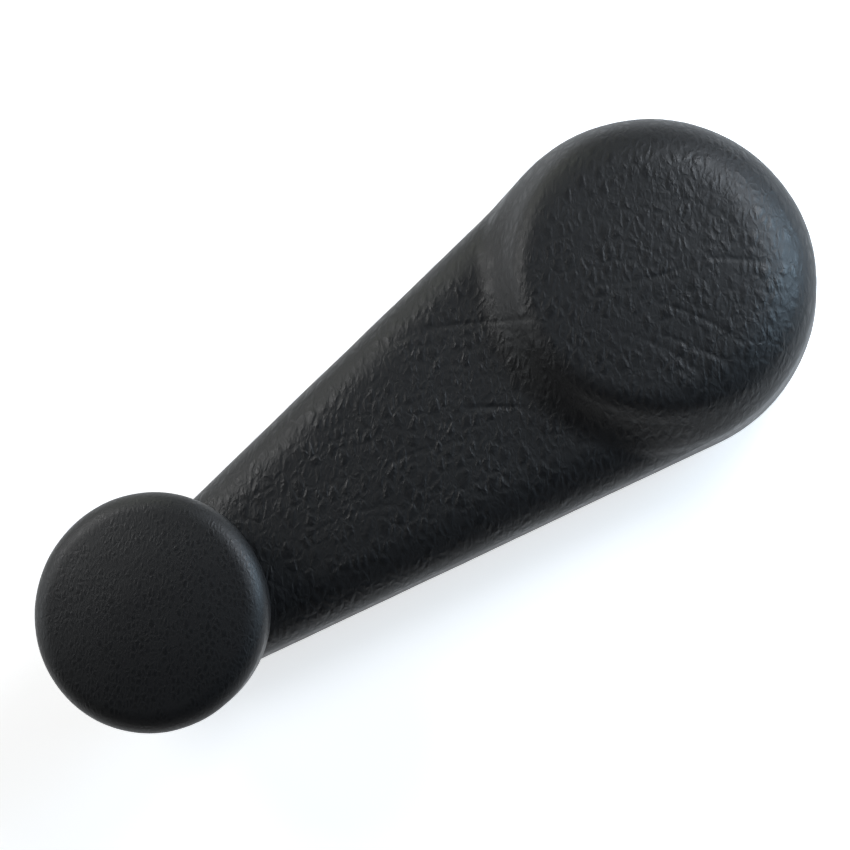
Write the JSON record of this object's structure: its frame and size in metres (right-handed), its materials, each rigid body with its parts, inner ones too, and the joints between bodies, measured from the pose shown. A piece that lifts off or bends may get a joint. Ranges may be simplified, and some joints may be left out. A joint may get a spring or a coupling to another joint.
{
  "type": "window winder handle",
  "caption": "Short hand crank with a domed hub, a tapered leather-grained arm and a free-spinning round knob, for winding a vehicle window.",
  "frame": {"origin": "on the spindle axis, at the mouth of the hub's bore, which is the rear end of the hub boss", "axes": "+Z along the spindle axis from the door to the user, +X from the hub to the knob's axis"},
  "size_m": [0.1271, 0.0496, 0.0279],
  "materials": {
    "cover_skin": "soft PVC skin, leather grain",
    "knob_skin": "soft PVC skin, fine grain, smooth rounded edge",
    "foam": "open-cell foam",
    "carrier_plastic": "moulded, glass filled",
    "rear_plastic": "moulded, fine spark texture",
    "knob_plastic": "moulded, satin",
    "bush_plastic": "natural acetal",
    "washer_plastic": "nylon, satin",
    "pressed_steel": "zinc passivated",
    "cast_zinc": "die cast, as cast",
    "rivet_steel": "plated",
    "screw_steel": "plated",
    "stud_steel": "turned, plated",
    "washer_steel": "plated",
    "spring_steel": "blued spring steel",
    "end_washer_steel": "plated",
    "push_nut_steel": "phosphated spring steel",
    "clip_steel": "bright spring steel"
  },
  "bodies": {
    "crank": {"grip_cover": "cover_skin", "dome_pad": "foam", "cover_carrier": "carrier_plastic", "back_cover": "rear_plastic", "back_cover_screws": "screw_steel", "hub_insert": "cast_zinc", "hub_rivets": "rivet_steel", "arm_core": "pressed_steel", "knob_stud": "stud_steel", "thrust_washer": "washer_steel", "spring_washer": "spring_steel", "end_washer": "end_washer_steel", "push_nut": "push_nut_steel"},
    "knob": {"knob_body": "knob_plastic", "knob_cap": "knob_skin", "knob_bush": "bush_plastic"},
    "clip": {"retaining_clip": "clip_steel"},
    "washer": {"trim_washer": "washer_plastic"}
  },
  "joints": [
    {"name": "knob_spin", "type": "hinge", "parent": "crank", "child": "knob", "pos_m": [0.085, 0, 0.0165], "axis": [0, 0, 1], "continuous": true},
    {"name": "clip_slide", "type": "slide", "parent": "crank", "child": "clip", "axis": [1, 0, 0], "range_m": [0, 0.018]},
    {"name": "washer_spin", "type": "hinge", "parent": "crank", "child": "washer", "pos_m": [0, 0, 0], "axis": [0, 0, 1], "continuous": true}
  ]
}
